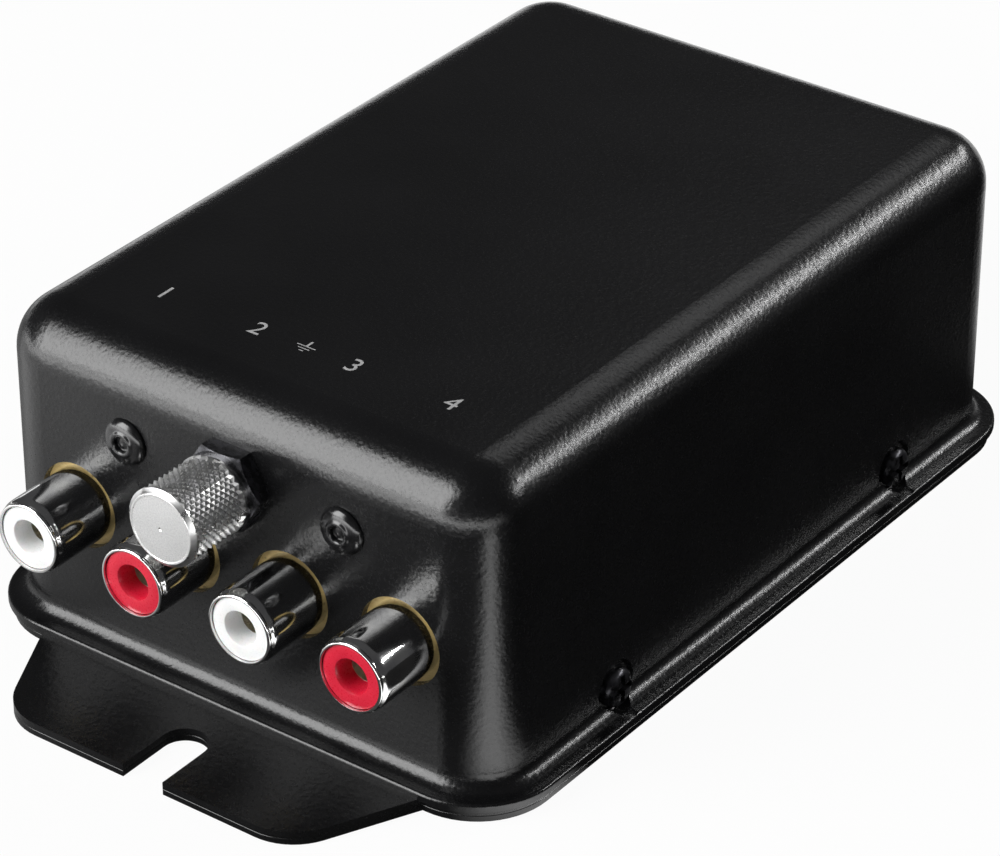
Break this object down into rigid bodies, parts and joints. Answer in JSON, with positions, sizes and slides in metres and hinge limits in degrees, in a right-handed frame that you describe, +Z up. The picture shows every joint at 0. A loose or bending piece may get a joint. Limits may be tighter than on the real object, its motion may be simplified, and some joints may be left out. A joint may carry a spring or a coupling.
{
  "type": "phono preamp",
  "caption": "Small black drawn-steel phono preamp with a row of phono sockets, a knurled earth terminal and slotted mounting tabs on a flat base plate.",
  "frame": {"origin": "centre of the footprint, on the underside of the base plate", "axes": "+Z up, the sockets on the -Y side, +X to the right of someone who faces the sockets"},
  "size_m": [0.0692, 0.1258, 0.038],
  "materials": {
    "black_powder_coat": "fine textured satin powder coat",
    "black_plate": "satin black paint",
    "black_screw": "black zinc",
    "black_rivet": "black paint",
    "brown_board": "phenolic paper board",
    "bright_chrome": "bright plating",
    "plated_steel": "zinc plating",
    "dark_nut": "black nickel",
    "white_insulator": "moulded",
    "red_insulator": "moulded",
    "contact_metal": "tinned",
    "tinned_brass": "tinned",
    "circuit_board": "solder mask",
    "brass_pillar": "turned",
    "black_moulding": "moulded",
    "capacitor_can": "printed sleeve",
    "film_capacitor": "dipped",
    "resistor_body": "lacquer",
    "white_wire": "insulation",
    "red_wire": "insulation",
    "black_wire": "insulation",
    "green_wire": "insulation"
  },
  "bodies": {
    "enclosure": {"cover": "black_powder_coat", "base_plate": "black_plate", "side_screws": "black_screw", "board_rivets": "black_rivet", "jack_board_left": "brown_board", "jack_board_right": "brown_board", "jack_shell_1": "bright_chrome", "jack_insulator_1": "white_insulator", "jack_contact_1": "contact_metal", "jack_tag_1": "tinned_brass", "signal_wire_1": "white_wire", "jack_shell_2": "bright_chrome", "jack_insulator_2": "red_insulator", "jack_contact_2": "contact_metal", "jack_tag_2": "tinned_brass", "signal_wire_2": "red_wire", "jack_shell_3": "bright_chrome", "jack_insulator_3": "white_insulator", "jack_contact_3": "contact_metal", "jack_tag_3": "tinned_brass", "signal_wire_3": "white_wire", "jack_shell_4": "bright_chrome", "jack_insulator_4": "red_insulator", "jack_contact_4": "contact_metal", "jack_tag_4": "tinned_brass", "signal_wire_4": "red_wire", "ground_stud": "plated_steel", "ground_hex_nut": "dark_nut", "ground_tag": "tinned_brass", "ground_inner_nut": "plated_steel", "ground_wire": "green_wire", "circuit_board": "circuit_board", "board_pillars": "brass_pillar", "board_screws": "plated_steel", "amplifier_chip": "black_moulding", "electrolytic_1": "capacitor_can", "film_capacitor_1": "film_capacitor", "electrolytic_2": "capacitor_can", "film_capacitor_2": "film_capacitor", "electrolytic_3": "capacitor_can", "film_capacitor_3": "film_capacitor", "electrolytic_4": "capacitor_can", "film_capacitor_4": "film_capacitor", "resistor_1": "resistor_body", "resistor_2": "resistor_body", "resistor_3": "resistor_body", "resistor_4": "resistor_body", "resistor_5": "resistor_body", "resistor_6": "resistor_body", "regulator": "black_moulding", "inlet_housing": "black_moulding", "inlet_pin": "plated_steel", "inlet_nut": "plated_steel", "power_wire_left": "red_wire", "power_wire_right": "black_wire"},
    "washer": {"clamp_washer": "bright_chrome"},
    "thumb_nut": {"thumb_nut": "bright_chrome"}
  },
  "joints": [
    {"name": "washer_slide", "type": "slide", "parent": "enclosure", "child": "washer", "axis": [0, -1, 0], "range_m": [0, 0.0035]},
    {"name": "nut_turn", "type": "hinge", "parent": "washer", "child": "thumb_nut", "pos_m": [0, -0.055, 0.0282], "axis": [0, -1, 0], "range_deg": [0, 1800]}
  ],
  "couplings": [
    {"joint": "nut_turn", "follows": "washer_slide", "rad_per_m": 8976}
  ]
}
